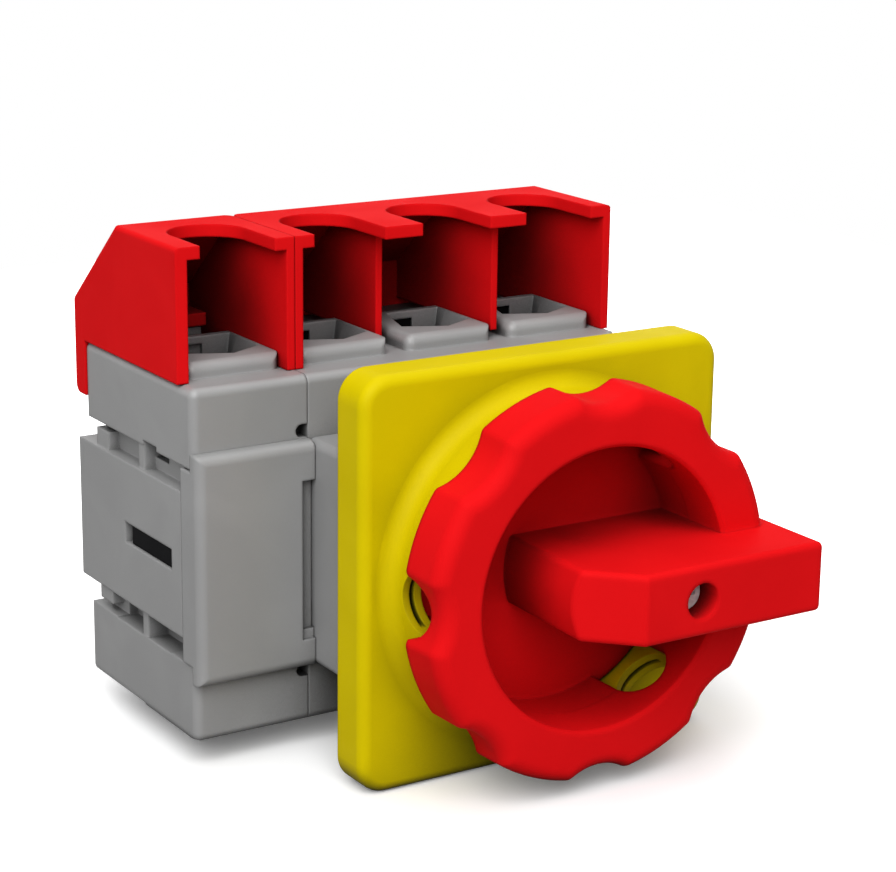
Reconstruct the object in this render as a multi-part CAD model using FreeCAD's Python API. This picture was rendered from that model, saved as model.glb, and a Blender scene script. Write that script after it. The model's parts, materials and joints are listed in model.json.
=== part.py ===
import FreeCAD, Part
import os
from math import asin, cos, degrees, radians, sin
from FreeCAD import Vector

# Rotary switch disconnector for a DIN rail: three-pole block, clip-on neutral module, padlocking handle.
# Lengths are millimetres. X is to the right, Y runs back to the rail, Z is up.
# The model is laid out from the knob's axis and the front plate's face, where X, Y and Z are 0.
# Each piece is saved with its origin moved to the middle of the rail seat.

# Running and seating clearances
SEAM = 0.1
CLEAR = 0.3

# Layout of the poles: the neutral pole at the left, then the block's three
POLE_PITCH = 20.0
POLES = [(number - 2) * POLE_PITCH for number in range(4)]
NEUTRAL = POLES[0]
MAIN_POLES = POLES[1:]
BLOCK_HALF = POLE_PITCH * len(MAIN_POLES) / 2
MODULE_LEFT = -BLOCK_HALF - POLE_PITCH - 0.4
CHEEK = 0.4

# Depths along Y
PLATE_T = 7.4
MECH_DEPTH = 15.6
BODY_DEPTH = 38.3
CHANNEL_DEPTH = 4.2
BODY_FRONT = PLATE_T + MECH_DEPTH
RAIL_SEAT = BODY_FRONT + BODY_DEPTH
CHANNEL_NOSE = RAIL_SEAT + CHANNEL_DEPTH

# Heights, the same above and below the knob's axis
MID_TOP = 12.0
GROOVE_H = 4.2
TERMINAL_H = 12.7
GROOVE_TOP = MID_TOP + GROOVE_H
BODY_TOP = GROOVE_TOP + TERMINAL_H
MECH_TOP = 18.7
BODY_ROUND = 1.4

# Groove round the body, with its latch windows and ribs
GROOVE_DEPTH = 2.2
GROOVE_REAR = RAIL_SEAT - 2.8
WINDOW_DEPTH = 1.6
UPPER_RIB_SET = 17.4
UPPER_RIB = BODY_FRONT + UPPER_RIB_SET
UPPER_RIB_T = 2.1
UPPER_WINDOW = 4.9
LOWER_RIB_SET = 17.1
LOWER_RIB = BODY_FRONT + LOWER_RIB_SET
LOWER_RIB_T = 2.0
LOWER_WINDOW_FRONT = 8.8
LOWER_WINDOW_BACK = 9.6
GROOVE_STEP = 4.5
STEP_GAP = 1.2
LEDGE_GAP = 1.5

# Contact chambers
CHAMBER_WALL = 2.5
CHAMBER_ROOF = 1.0
CHAMBER_HALF = POLE_PITCH / 2 - CHAMBER_WALL
CHAMBER_TOP = MID_TOP + CHAMBER_ROOF

# Moving contact system
TRAVEL = 5.0
YOKE_GAP = 1.5
YOKE_T = 3.0
YOKE_HALF = 13.0
YOKE_TOP = 5.0
YOKE_FRONT = BODY_FRONT + YOKE_GAP
YOKE_BACK = YOKE_FRONT + YOKE_T
FRAME_FRONT = YOKE_BACK
FRAME_BAR = 2.0
FRAME_WEB = 2.2
BLADE_FRONT = FRAME_FRONT + 3.5
BLADE_WIDTH = 6.0
BLADE_BACK = BLADE_FRONT + BLADE_WIDTH
BLADE_HALF = 1.4
SLOT_GAP = 0.35
SLOT_HALF = BLADE_HALF + SLOT_GAP
SLOT_FRONT = BLADE_FRONT - 1.2
ARM_OUT = CHAMBER_HALF - 0.9
ARM_T = 2.0
ARM_IN = ARM_OUT - ARM_T
ARM_TOP = 4.0
LUG_RADIUS = 9.0
LUG_HALF = 1.75
LUG_THICK = 2.4
MORTISE_HALF = 0.7
MORTISE_DEPTH = 3.0
MORTISE_RIM = 2.0
MORTISE_FIT = 0.05
LINK_HALF = 2.8
LINK_IN = -BLOCK_HALF + LINK_HALF
LINK_OUT = -BLOCK_HALF - LINK_HALF
BLADE_INSET = 1.6

# Contacts
BRIDGE_HALF = ARM_IN - 0.4
BRIDGE_T = 1.6
BRIDGE_TOP = CHAMBER_TOP - 2.0
BRIDGE_ROUND = 1.0
TIP_T = 1.0
TIP_HALF = BRIDGE_HALF - 0.7
TIP_H = 4.0
STRIP_T = 1.6
STRIP_IN = BRIDGE_TOP - TIP_H
SPRING_LOOP = 7.6
SPRING_T = 0.5
SPRING_INSET = 0.8
SPRING_MOUTH = 0.8
BRIDGE_FRONT = FRAME_FRONT + FRAME_BAR + SPRING_LOOP
BRIDGE_BACK = BRIDGE_FRONT + BRIDGE_T
PAD_BACK = BRIDGE_BACK + TIP_T
CHAMBER_BACK = PAD_BACK + CLEAR + TRAVEL + TIP_T + STRIP_T
SLOT_BACK = CHAMBER_BACK - 0.5

# Terminal funnels and clamps; X sizes are taken from the pole's middle
FUNNEL_H = 2.6
FUNNEL_TOP = BODY_TOP + FUNNEL_H
FUNNEL_LEFT = -POLE_PITCH / 2 + 2.0
FUNNEL_RIGHT = POLE_PITCH / 2 - 1.6
FUNNEL_FRONT = BODY_FRONT + 6.0
FUNNEL_DEPTH = 17.9
FUNNEL_BACK = FUNNEL_FRONT + FUNNEL_DEPTH
FUNNEL_ROUND = 1.6
MOUTH_BACK = FUNNEL_BACK - 1.3
MOUTH_RIGHT = FUNNEL_RIGHT - 0.4
MOUTH_LEFT = FUNNEL_LEFT + 2.8
MOUTH_FRONT = FUNNEL_FRONT + 3.4
THROAT_LEFT = FUNNEL_LEFT + 5.0
THROAT_RIGHT = FUNNEL_RIGHT - 5.5
THROAT_FRONT = FUNNEL_FRONT + 9.0
THROAT_BACK = MOUTH_BACK + 0.6
THROAT_TOP = FUNNEL_TOP - 1.3
FUNNEL_FLOOR = FUNNEL_TOP - 4.2
POCKET_HALF = CHAMBER_HALF - 1.5
POCKET_LOW = GROOVE_TOP + 0.4
POCKET_TOP = BODY_TOP - 2.3
STRIP_HALF = POCKET_HALF - 1.5
STRIP_OUT = POCKET_TOP - 0.6
CLAMP_T = 0.6
CLAMP_HALF = POCKET_HALF - 2.4
CLAMP_R = 3.4
POCKET_FRONT = CHAMBER_BACK - 12.1

# Post behind the neutral module's funnel, and the cover's shelf that rests over it
POST_LEFT = MODULE_LEFT + 2.6
POST_WIDTH = 12.9
POST_RIGHT = POST_LEFT + POST_WIDTH
POST_FRONT = FUNNEL_BACK + 3.3
POST_BACK = RAIL_SEAT - 3.1
SHELF_FOOT = FUNNEL_TOP + 0.7
SHELF_T = 2.1
SHELF_OVER = 0.6

# Pins that join the neutral module to the block
DOWEL_R = 1.5
DOWEL_REACH = 4.0
DOWEL_Y = RAIL_SEAT - 7.3
DOWEL_Z = GROOVE_TOP + 5.8
DOWEL_IN = -BLOCK_HALF + DOWEL_REACH
NOTCH_R = 1.1
NOTCH_DEPTH = 3.0
NOTCH_Z = GROOVE_TOP + 3.8

# Knob: bowl, ring with finger scallops, grip bar
BOWL_R = 22.6
BOWL_WALL = 1.8
BOWL_EDGE = 0.5
FLOOR_FRONT = -1.0
FLOOR_BACK = 2.0
RUN_GAP = 0.5
GUIDE_WALL = 1.3
RING_GAP = 0.4
RING_WALL = 4.6
RING_DRAFT = 0.3
RIM_T = 1.95
RING_FRONT = -17.25
RING_REAR = -8.6
RIM_EDGE = 2.5
SCALLOPS = 8
SCALLOP_DEPTH = 1.95
SCALLOP_R = 10.0
SCALLOP_EDGE = 1.5
HUB_R = 12.4
HUB_BACK = 4.6
BAR_HALF = 5.66
BAR_ROOT_AXIS = 6.3
BAR_ROOT_FRONT_R = 15.5
BAR_ROOT_BACK_R = 14.7
BAR_FRONT = -28.5
BAR_CREST_X = -0.9
BAR_OVERHANG = 1.9
BAR_END_BACK = -11.5
BAR_EDGE = 0.9
CORE_WALL = 2.0
SCREW_BOSS_R = 4.6
RECESS_R = BOWL_R + BOWL_WALL + RUN_GAP
GUIDE_OUT = RECESS_R + GUIDE_WALL
RING_INNER = GUIDE_OUT + RING_GAP
RING_R_FRONT = RING_INNER + RING_WALL
RING_R_REAR = RING_R_FRONT + RING_DRAFT
SCALLOP_AXIS = RING_R_FRONT - SCALLOP_DEPTH + SCALLOP_R
BAR_END = RING_R_FRONT + BAR_OVERHANG
BAR_CORE_FRONT = BAR_FRONT + 8.5

# Knob screw
SCREW_HEAD_R = 2.8
SCREW_HEAD_T = 2.6
SCREW_HEAD_Y = BAR_FRONT + 4.2
SCREW_HEAD_EDGE = 0.4
SCREW_R = 1.75
SCREW_X = HUB_R - SCREW_HEAD_R
SCREW_BITE = 1.5
CROSS_HALF = 1.7
CROSS_SLIT = 0.4
CROSS_DEPTH = 1.2

# Padlock holes through the bowl, the guide wall and the collar
PADLOCK_R = 5.0
PADLOCK_Y = -8.1
PADLOCK_ANGLES = (180.0, 54.0, -54.0)

# Front plate with its collar and guide wall
PLATE_HALF = RING_R_REAR + 2.0
PLATE_CORNER = 4.8
PLATE_EDGE = 1.8
PLATE_SKIN = 4.4
PLATE_WALL = 2.2
PLATE_RIB_HALF = 1.0
RECESS_FLOOR = FLOOR_BACK + CLEAR
COLLAR_WALL = 1.0
COLLAR_R = GUIDE_OUT + 1.8
COLLAR_FOOT = 2.8
COLLAR_TOP = -8.2
COLLAR_EDGE = 0.5
GUIDE_TOP = -14.0
GROOVE_FLOOR = -0.6
HUB_BORE_R = HUB_R + 0.4
HUB_WALL = 2.4
PLATE_SCREW_R = 1.4
PLATE_SCREW_HEAD_R = 2.8
PLATE_SCREW_HEAD = 1.6
PLATE_SCREW_END = BODY_FRONT - 8.0
PLATE_SCREW_CIRCLE = (HUB_BORE_R + HUB_WALL + RECESS_R) / 2
PLATE_SCREW_ANGLE = 34.0
PLATE_SCREW_X = PLATE_SCREW_CIRCLE * cos(radians(PLATE_SCREW_ANGLE))
PLATE_SCREW_Z = PLATE_SCREW_CIRCLE * sin(radians(PLATE_SCREW_ANGLE))

# Drive train behind the plate
MECH_WALL = 2.5
DISC_R = HUB_R
FLANGE_R = DISC_R + 1.4
FLANGE_FRONT = PLATE_T + MECH_WALL + CLEAR
FLANGE_BACK = FLANGE_FRONT + 2.0
CAVITY_R = FLANGE_R + 0.7
CAM_R = CAVITY_R - 2.0
CAM_FRONT = FLANGE_BACK + 0.2
CAM_LOW = CAM_FRONT + 3.3
CAM_HIGH = CAM_LOW + TRAVEL
SHAFT_HALF = 3.0
SHAFT_FIT = 0.02
SHAFT_CHAMFER = 0.4
SHAFT_FRONT = HUB_BACK + 0.6
SHAFT_BACK = BODY_FRONT - 0.5
RAMP_INNER_R = SHAFT_HALF * 1.9
SIDE_ROOM = CAVITY_R + 8.0

# Screws that hold the mechanism housing to the body
SCREW_POST_X = POLE_PITCH / 2
SCREW_POST_Z = CHAMBER_TOP + 2.6
POST_SCREW_R = 1.5
POST_HEAD_R = 2.7
POST_HEAD_FRONT = PLATE_T + 0.6
POST_HEAD_BACK = PLATE_T + 3.0
POST_SCREW_END = BODY_FRONT + 15.0

# Front cap of the neutral module
CAP_T = 2.6
CAP_FRONT = BODY_FRONT - CAP_T
CAP_TOP = MECH_TOP + 0.1
CAP_SEAT = 0.05
CAP_SKIRT_TOP = GROOVE_TOP - CLEAR
CAP_SKIRT_BACK = BODY_FRONT + 3.3
CAP_ROUND = 1.6
CAP_POCKET_DEPTH = 1.4
CAP_POCKET_WIDTH = 2.3
CAP_POCKET_TOP = 12.6
CAP_POCKET_FOOT = -13.9
CAP_LEDGE = 1.6

# Rail clip, for a 35 mm rail
LIP_EDGE = 17.5
LIP_T = 1.3
LIP_REACH = 1.6
LIP_GAP = 0.2
HOOK_T = 1.7
HOOK_X = 18.0
HOOK_HALF = 5.0
SLIDE_HALF = 7.0
SLIDE_T = 3.0
SPRING_HALF = 4.0
SPRING_W = 1.2
SPRING_WIRE = 0.6
SPRING_RUNS = 6
SPRING_LENGTH = 7.1
SPRING_HEAD = -LIP_EDGE - 2.4
SPRING_FOOT = SPRING_HEAD - SPRING_LENGTH
SLIDE_BOTTOM = SPRING_FOOT - 4.0
DRIVER_HALF = 2.6
DRIVER_H = 1.4
DRIVER_EDGE = 1.2

# Terminal covers
COVER_GAP = 0.05
COVER_T = 2.0
COVER_FOOT = BODY_TOP + SEAM
COVER_H = 21.3
COVER_TOP = COVER_FOOT + COVER_H
COVER_FRONT = BODY_FRONT + 4.0
ROOF_DEPTH = 21.9
ROOF_BACK = COVER_FRONT + ROOF_DEPTH
SLOPE_FOOT = COVER_FOOT + 7.25
SKIRT_FRONT = RAIL_SEAT + 0.2
SKIRT_T = 3.7
COVER_REAR = SKIRT_FRONT + SKIRT_T
SKIRT_FOOT = COVER_FOOT - 9.3
SKIRT_EDGE = 1.5
COVER_EDGE = 0.8
SEAM_EDGE = 1.4
SIDE_WALL = 1.4
COVER_OUT = 0.6
NEUTRAL_COVER_OUT = 0.3
DIVIDER_T = 1.2
DIVIDER_SETS = (8.0, 4.0)
DIVIDER_FOOT = 1.2
CUT_R = 6.5
CUT_Y = COVER_FRONT + 10.0


def box(x0, x1, y0, y1, z0, z1):
    return Part.makeBox(x1 - x0, y1 - y0, z1 - z0, Vector(x0, y0, z0))


def rod(x, z, radius, y0, y1):
    return Part.makeCylinder(radius, y1 - y0, Vector(x, y0, z), Vector(0, 1, 0))


def prism(points, axis, start, end):
    """Extrude a closed outline of 3-D points along an axis from start to end."""
    step = Vector(*[1.0 if name == axis else 0.0 for name in "xyz"])
    face = Part.Face(Part.makePolygon(points + points[:1]))
    face.translate(step * start)
    return face.extrude(step * (end - start))


def yz_prism(outline, x0, x1):
    return prism([Vector(0, y, z) for y, z in outline], "x", x0, x1)


def xy_prism(outline, z0, z1):
    return prism([Vector(x, y, 0) for x, y in outline], "z", z0, z1)


def revolve(points):
    """Turn a closed outline of (radius, depth) points about the knob's axis."""
    wire = Part.makePolygon([Vector(r, y, 0) for r, y in points + points[:1]])
    return Part.Face(wire).revolve(Vector(0, 0, 0), Vector(0, 1, 0), 360)


def round_edges(shape, radius, wanted):
    return shape.makeFillet(radius, [edge for edge in shape.Edges if wanted(edge.BoundBox)])


def fuse(first, *others):
    return first.multiFuse(list(others)).removeSplitter()


def flip(shape):
    """Mirror a piece from the line side at the top to the load side at the bottom."""
    return shape.mirror(Vector(0, 0, 0), Vector(0, 0, 1))


def both_sides(shape):
    return [shape, flip(shape)]


def corners(x, z):
    """The four places at plus and minus x and z."""
    return [(sx * x, sz * z) for sx in (-1, 1) for sz in (-1, 1)]


def save(name, shape):
    placed = shape.copy()
    placed.translate(Vector(0, -RAIL_SEAT, 0))
    placed.exportStep("parts/%s.step" % name)
    print("%-24s solids %d valid %s" % (name, len(placed.Solids), placed.isValid()))


def terminal_funnel(pole):
    """The raised block over one line terminal, still without its opening."""
    left = pole + FUNNEL_LEFT
    right = pole + FUNNEL_RIGHT
    block = box(left, right, FUNNEL_FRONT, FUNNEL_BACK, BODY_TOP - 1, FUNNEL_TOP)
    return round_edges(block, FUNNEL_ROUND, lambda b: b.ZMin > BODY_TOP and (b.YMax < FUNNEL_FRONT + SEAM or
                       b.XMax < left + SEAM) or b.XLength + b.YLength < SEAM and b.YMax < FUNNEL_FRONT + SEAM)


def mouth_outline(pole, inset, z):
    """Six-sided mouth of a funnel, drawn in by inset everywhere but at the back."""
    middle = (MOUTH_LEFT + MOUTH_RIGHT) / 2
    points = [(MOUTH_LEFT + inset, MOUTH_FRONT + 3.2 + inset), (middle + 0.5, MOUTH_FRONT + inset),
              (MOUTH_RIGHT - inset, MOUTH_FRONT + 3.0 + inset), (MOUTH_RIGHT - inset, MOUTH_BACK - 2.6),
              (MOUTH_RIGHT - inset * 0.3, MOUTH_BACK), (MOUTH_LEFT + 2.9, MOUTH_BACK)]
    line = [Vector(pole + x, y, z) for x, y in points]
    return Part.makePolygon(line + line[:1])


def funnel_opening(pole):
    """Slanted wire guide down to a floor, and the square passage on to the clamp below it."""
    guide = Part.makeLoft([mouth_outline(pole, 1.6, FUNNEL_FLOOR),
                           mouth_outline(pole, 0.0, FUNNEL_TOP + 0.01)], True, True)
    passage = box(pole + THROAT_LEFT, pole + THROAT_RIGHT, THROAT_FRONT, THROAT_BACK, POCKET_LOW, THROAT_TOP)
    return fuse(guide, passage)


def pole_cuts(pole):
    """Chamber of one pole with the clamp pockets, strip slots and wire guides at both ends."""
    pocket = box(pole - POCKET_HALF, pole + POCKET_HALF, POCKET_FRONT, CHAMBER_BACK, POCKET_LOW, POCKET_TOP)
    strip_slot = box(pole - STRIP_HALF - SEAM, pole + STRIP_HALF + SEAM, CHAMBER_BACK - STRIP_T - SEAM,
                     CHAMBER_BACK, CHAMBER_TOP - 1, POCKET_LOW + 1)
    one_side = fuse(pocket, strip_slot, funnel_opening(pole))
    chamber = box(pole - CHAMBER_HALF, pole + CHAMBER_HALF, BODY_FRONT - 1, CHAMBER_BACK,
                  -CHAMBER_TOP, CHAMBER_TOP)
    return [chamber] + both_sides(one_side)


def terminal_section(left, right, outer):
    """Upper terminal section between two sides; its front edge and its outer side are rounded."""
    section = box(left, right, BODY_FRONT, RAIL_SEAT, GROOVE_TOP, BODY_TOP)
    return round_edges(section, BODY_ROUND, lambda b: b.ZMin > BODY_TOP - SEAM and b.YMax < BODY_FRONT + SEAM or
                       b.XLength < SEAM and abs(b.XMin - outer) < SEAM and
                       (b.ZMin > BODY_TOP - SEAM or b.YMax < BODY_FRONT + SEAM))


def groove_windows(side, inward):
    """Latch windows and notches in the groove of one side face; inward is +1 or -1 along X."""
    x0, x1 = sorted((side - inward * 2.0, side + inward * (GROOVE_DEPTH + WINDOW_DEPTH)))
    foot = CHAMBER_TOP + 0.9
    upper = box(x0, x1, UPPER_RIB - UPPER_WINDOW, UPPER_RIB, foot, GROOVE_TOP + 0.8)
    lower_back = box(x0, x1, LOWER_RIB + LOWER_RIB_T, LOWER_RIB + LOWER_RIB_T + LOWER_WINDOW_BACK,
                     -GROOVE_TOP - 0.2, -foot)
    lower_front = box(x0, x1, LOWER_RIB - LOWER_WINDOW_FRONT, LOWER_RIB, -GROOVE_TOP - 0.2, -foot)
    return [upper, lower_back, lower_front]


def groove_ribs(side, inward):
    """Ribs and steps that stand in the groove of one side face."""
    x0, x1 = sorted((side + inward * 0.2, side + inward * (GROOVE_DEPTH + 0.5)))
    upper = box(x0, x1, UPPER_RIB, UPPER_RIB + UPPER_RIB_T, MID_TOP - 0.5, GROOVE_TOP + 0.5)
    step = box(x0, x1, GROOVE_REAR - GROOVE_STEP, GROOVE_REAR, MID_TOP - 0.5, GROOVE_TOP - STEP_GAP)
    lower = box(x0, x1, LOWER_RIB, LOWER_RIB + LOWER_RIB_T, -GROOVE_TOP - 0.5, -MID_TOP + 0.5)
    ledge = box(x0, x1, GROOVE_REAR - GROOVE_STEP - CLEAR, GROOVE_REAR, -GROOVE_TOP + LEDGE_GAP, -MID_TOP + 0.5)
    return [upper, step, lower, ledge]


def middle_block(left, right, front):
    """Waist behind the groove and the middle block that reaches into the rail, for one housing."""
    middle = box(left, right, front, CHANNEL_NOSE, -MID_TOP, MID_TOP)
    return round_edges(middle, BODY_ROUND, lambda b: b.YMin > CHANNEL_NOSE - SEAM)


def contact_housing():
    left = -BLOCK_HALF
    right = BLOCK_HALF
    sections = both_sides(terminal_section(left, right, right))
    waist = box(left, right - GROOVE_DEPTH, BODY_FRONT, GROOVE_REAR, -GROOVE_TOP - 1, GROOVE_TOP + 1)
    funnels = []
    for pole in MAIN_POLES:
        funnels += both_sides(terminal_funnel(pole))
    body = fuse(sections[0], sections[1], waist, middle_block(left, right, BODY_FRONT), *funnels,
                *groove_ribs(right, -1), *rail_hooks())
    cuts = groove_windows(right, -1)
    for pole in MAIN_POLES:
        cuts += pole_cuts(pole)
    wall_half = POLE_PITCH / 2 + CHAMBER_WALL + CLEAR
    cuts.append(box(-wall_half, wall_half, BODY_FRONT - 1, YOKE_BACK + TRAVEL + CLEAR,
                    -YOKE_TOP - CLEAR * 2, YOKE_TOP + CLEAR * 2))
    cuts.append(box(left + CHAMBER_WALL, MAIN_POLES[-1], BODY_FRONT - 1, SLOT_BACK, -SLOT_HALF, SLOT_HALF))
    cuts.append(box(left - 1, left + CHAMBER_WALL + 1, SLOT_FRONT, SLOT_BACK, -SLOT_HALF, SLOT_HALF))
    cuts += [rod(x, z, POST_SCREW_R, BODY_FRONT - 1, POST_SCREW_END) for x, z in corners(SCREW_POST_X, SCREW_POST_Z)]
    cuts += dowel_holes(left - 1, DOWEL_IN)
    cuts.append(slide_channel())
    return body.cut(cuts)


def dowel_holes(x0, x1):
    return [Part.makeCylinder(DOWEL_R, x1 - x0, Vector(x0, DOWEL_Y, z), Vector(1, 0, 0))
            for z in (-DOWEL_Z, DOWEL_Z)]


def joining_dowels():
    return Part.makeCompound(dowel_holes(-BLOCK_HALF - SEAM - DOWEL_REACH + CLEAR, DOWEL_IN - CLEAR))


def hook(x):
    """Fixed hook that drops behind the rail's upper lip."""
    foot = LIP_EDGE + LIP_GAP
    start = RAIL_SEAT - 2.0
    lip = RAIL_SEAT + LIP_T
    back = lip + HOOK_T
    tip = foot - LIP_REACH
    outline = [(start, foot), (lip, foot), (lip, tip), (back - 0.6, tip), (back, tip + 0.9),
               (back, foot + HOOK_T), (start, foot + HOOK_T)]
    return yz_prism(outline, x - HOOK_HALF, x + HOOK_HALF)


def rail_hooks():
    return [hook(x) for x in (-HOOK_X, HOOK_X)]


def slide_channel():
    """Guide for the rail clip in the back of the lower section, open at the bottom."""
    half = SLIDE_HALF + CLEAR
    face = RAIL_SEAT - SLIDE_T
    plain = box(-half, half, face - CLEAR, CHANNEL_NOSE, -BODY_TOP - 1, -MID_TOP - 0.01)
    spring_room = box(-SPRING_HALF - CLEAR, SPRING_HALF + CLEAR, face - SPRING_W / 2 - CLEAR, face,
                      SPRING_FOOT - SEAM, SPRING_HEAD + 2.0)
    return fuse(plain, spring_room)


def rail_slide():
    """Sliding clip with a nose behind the rail's lower lip and a pull tab with a driver slot."""
    top = -LIP_EDGE - LIP_GAP
    tip = top + LIP_REACH
    lip = RAIL_SEAT + LIP_T
    back = lip + HOOK_T
    face = RAIL_SEAT - SLIDE_T
    skin = RAIL_SEAT - SEAM
    outline = [(face, SLIDE_BOTTOM), (skin, SLIDE_BOTTOM), (skin, top - HOOK_T), (back, top - HOOK_T),
               (back, tip - 0.9), (back - 0.6, tip), (lip, tip), (lip, top), (face, top)]
    clip = yz_prism(outline, -SLIDE_HALF, SLIDE_HALF)
    driver_foot = SLIDE_BOTTOM + DRIVER_EDGE
    driver_slot = box(-DRIVER_HALF, DRIVER_HALF, face - 1, RAIL_SEAT + 1, driver_foot, driver_foot + DRIVER_H)
    window = box(-SPRING_HALF - CLEAR, SPRING_HALF + CLEAR, face - 1, face + SPRING_W / 2 + CLEAR,
                 SPRING_FOOT - CLEAR, SPRING_HEAD + SEAM)
    return clip.cut([driver_slot, window])


def rail_spring():
    """Meander spring, half in the housing's pocket and half in the clip's window."""
    y0 = RAIL_SEAT - SLIDE_T - SPRING_W / 2
    step = (SPRING_LENGTH - SPRING_WIRE) / (SPRING_RUNS - 1)
    pieces = []
    for i in range(SPRING_RUNS):
        z = SPRING_HEAD - i * step
        pieces.append(box(-SPRING_HALF, SPRING_HALF, y0, y0 + SPRING_W, z - SPRING_WIRE, z))
        if i < SPRING_RUNS - 1:
            x0 = SPRING_HALF - SPRING_WIRE if i % 2 == 0 else -SPRING_HALF
            pieces.append(box(x0, x0 + SPRING_WIRE, y0, y0 + SPRING_W, z - step, z))
    return fuse(*pieces)


def contact_strip(pole):
    """Fixed contact of the line side: a flat strip with a contact pad at its inner end."""
    face = CHAMBER_BACK - STRIP_T
    strip = box(pole - STRIP_HALF, pole + STRIP_HALF, face, CHAMBER_BACK, STRIP_IN, STRIP_OUT)
    pad = box(pole - TIP_HALF, pole + TIP_HALF, face - TIP_T, face, STRIP_IN, STRIP_IN + TIP_H)
    return fuse(strip, pad)


def bridge(pole):
    """Moving contact bar with a pad at each end; it stops just short of the fixed pads at ON."""
    bar = box(pole - BRIDGE_HALF, pole + BRIDGE_HALF, BRIDGE_FRONT, BRIDGE_BACK, -BRIDGE_TOP, BRIDGE_TOP)
    bar = round_edges(bar, BRIDGE_ROUND, lambda b: b.XLength + b.ZLength < 0.01)
    pads = [box(pole - TIP_HALF, pole + TIP_HALF, BRIDGE_BACK, PAD_BACK, z0, z0 + TIP_H)
            for z0 in (STRIP_IN, -STRIP_IN - TIP_H)]
    return fuse(bar, *pads)


def contact_spring(pole):
    """C-shaped loop of spring strip between the carrier's front bar and the bridge."""
    radius = SPRING_LOOP / 2
    middle = BRIDGE_FRONT - radius
    half = ARM_IN - SPRING_INSET
    loop = Part.makeCylinder(radius, 2 * half, Vector(pole - half, middle, 0), Vector(1, 0, 0))
    inside = Part.makeCylinder(radius - SPRING_T, 2 * half, Vector(pole - half, middle, 0), Vector(1, 0, 0))
    mouth = box(pole - half, pole + half, middle - SPRING_MOUTH, middle + SPRING_MOUTH, 0, radius + 1)
    return loop.cut([inside, mouth])


def carrier_frame(pole):
    """Frame that carries one bridge: front bar, two arms and a back web."""
    web_back = BRIDGE_BACK + FRAME_WEB
    arms = [box(pole + x, pole + x + ARM_T, FRAME_FRONT, web_back, -ARM_TOP, ARM_TOP) for x in (-ARM_OUT, ARM_IN)]
    front_bar = box(pole - ARM_OUT, pole + ARM_OUT, FRAME_FRONT, FRAME_FRONT + FRAME_BAR, -ARM_TOP, ARM_TOP)
    web = box(pole - ARM_OUT, pole + ARM_OUT, BRIDGE_BACK, web_back, -ARM_TOP, ARM_TOP)
    return fuse(front_bar, web, *arms)


def blade(x0, x1):
    return box(x0, x1, BLADE_FRONT, BLADE_BACK, -BLADE_HALF, BLADE_HALF)


def mortise(x0, x1):
    half = MORTISE_HALF + MORTISE_FIT
    return box(x0, x1, BLADE_FRONT + MORTISE_RIM - MORTISE_FIT, BLADE_BACK - MORTISE_RIM + MORTISE_FIT, -half, half)


def follower(x):
    """Lug with a rounded nose that rides on the cam's ramp."""
    nose_radius = LUG_THICK / 2
    tip = CAM_LOW + CLEAR + nose_radius
    shank = box(x - LUG_HALF, x + LUG_HALF, tip, YOKE_FRONT, -nose_radius, nose_radius)
    nose = Part.makeCylinder(nose_radius, 2 * LUG_HALF, Vector(x - LUG_HALF, tip, 0), Vector(1, 0, 0))
    return [shank, nose]


def main_carrier():
    frames = [carrier_frame(pole) for pole in MAIN_POLES]
    yoke = box(-YOKE_HALF, YOKE_HALF, YOKE_FRONT, YOKE_BACK, -YOKE_TOP, YOKE_TOP)
    inner = POLE_PITCH - ARM_IN
    blades = [blade(LINK_IN, -POLE_PITCH - ARM_IN), blade(-inner, -ARM_IN), blade(ARM_IN, inner)]
    ties = [box(-inner, -ARM_IN, FRAME_FRONT, BLADE_FRONT, -BLADE_HALF, BLADE_HALF),
            box(ARM_IN, inner, FRAME_FRONT, BLADE_FRONT, -BLADE_HALF, BLADE_HALF)]
    body = fuse(yoke, *frames, *blades, *ties, *follower(-LUG_RADIUS), *follower(LUG_RADIUS))
    return body.cut(mortise(LINK_IN - 1, LINK_IN + MORTISE_DEPTH + MORTISE_FIT))


def neutral_carrier():
    frame = carrier_frame(NEUTRAL)
    right = blade(NEUTRAL + ARM_IN, LINK_OUT)
    left = blade(MODULE_LEFT + BLADE_INSET, NEUTRAL - ARM_IN)
    body = fuse(frame, right, left)
    sockets = [mortise(LINK_OUT - MORTISE_DEPTH - MORTISE_FIT, LINK_OUT + 1),
               mortise(MODULE_LEFT + 1, MODULE_LEFT + BLADE_INSET + MORTISE_DEPTH)]
    return body.cut(sockets)


def coupling_link():
    middle = blade(LINK_OUT, LINK_IN)
    tenon = box(LINK_OUT - MORTISE_DEPTH, LINK_IN + MORTISE_DEPTH, BLADE_FRONT + MORTISE_RIM,
                BLADE_BACK - MORTISE_RIM, -MORTISE_HALF, MORTISE_HALF)
    return fuse(middle, tenon)


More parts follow.
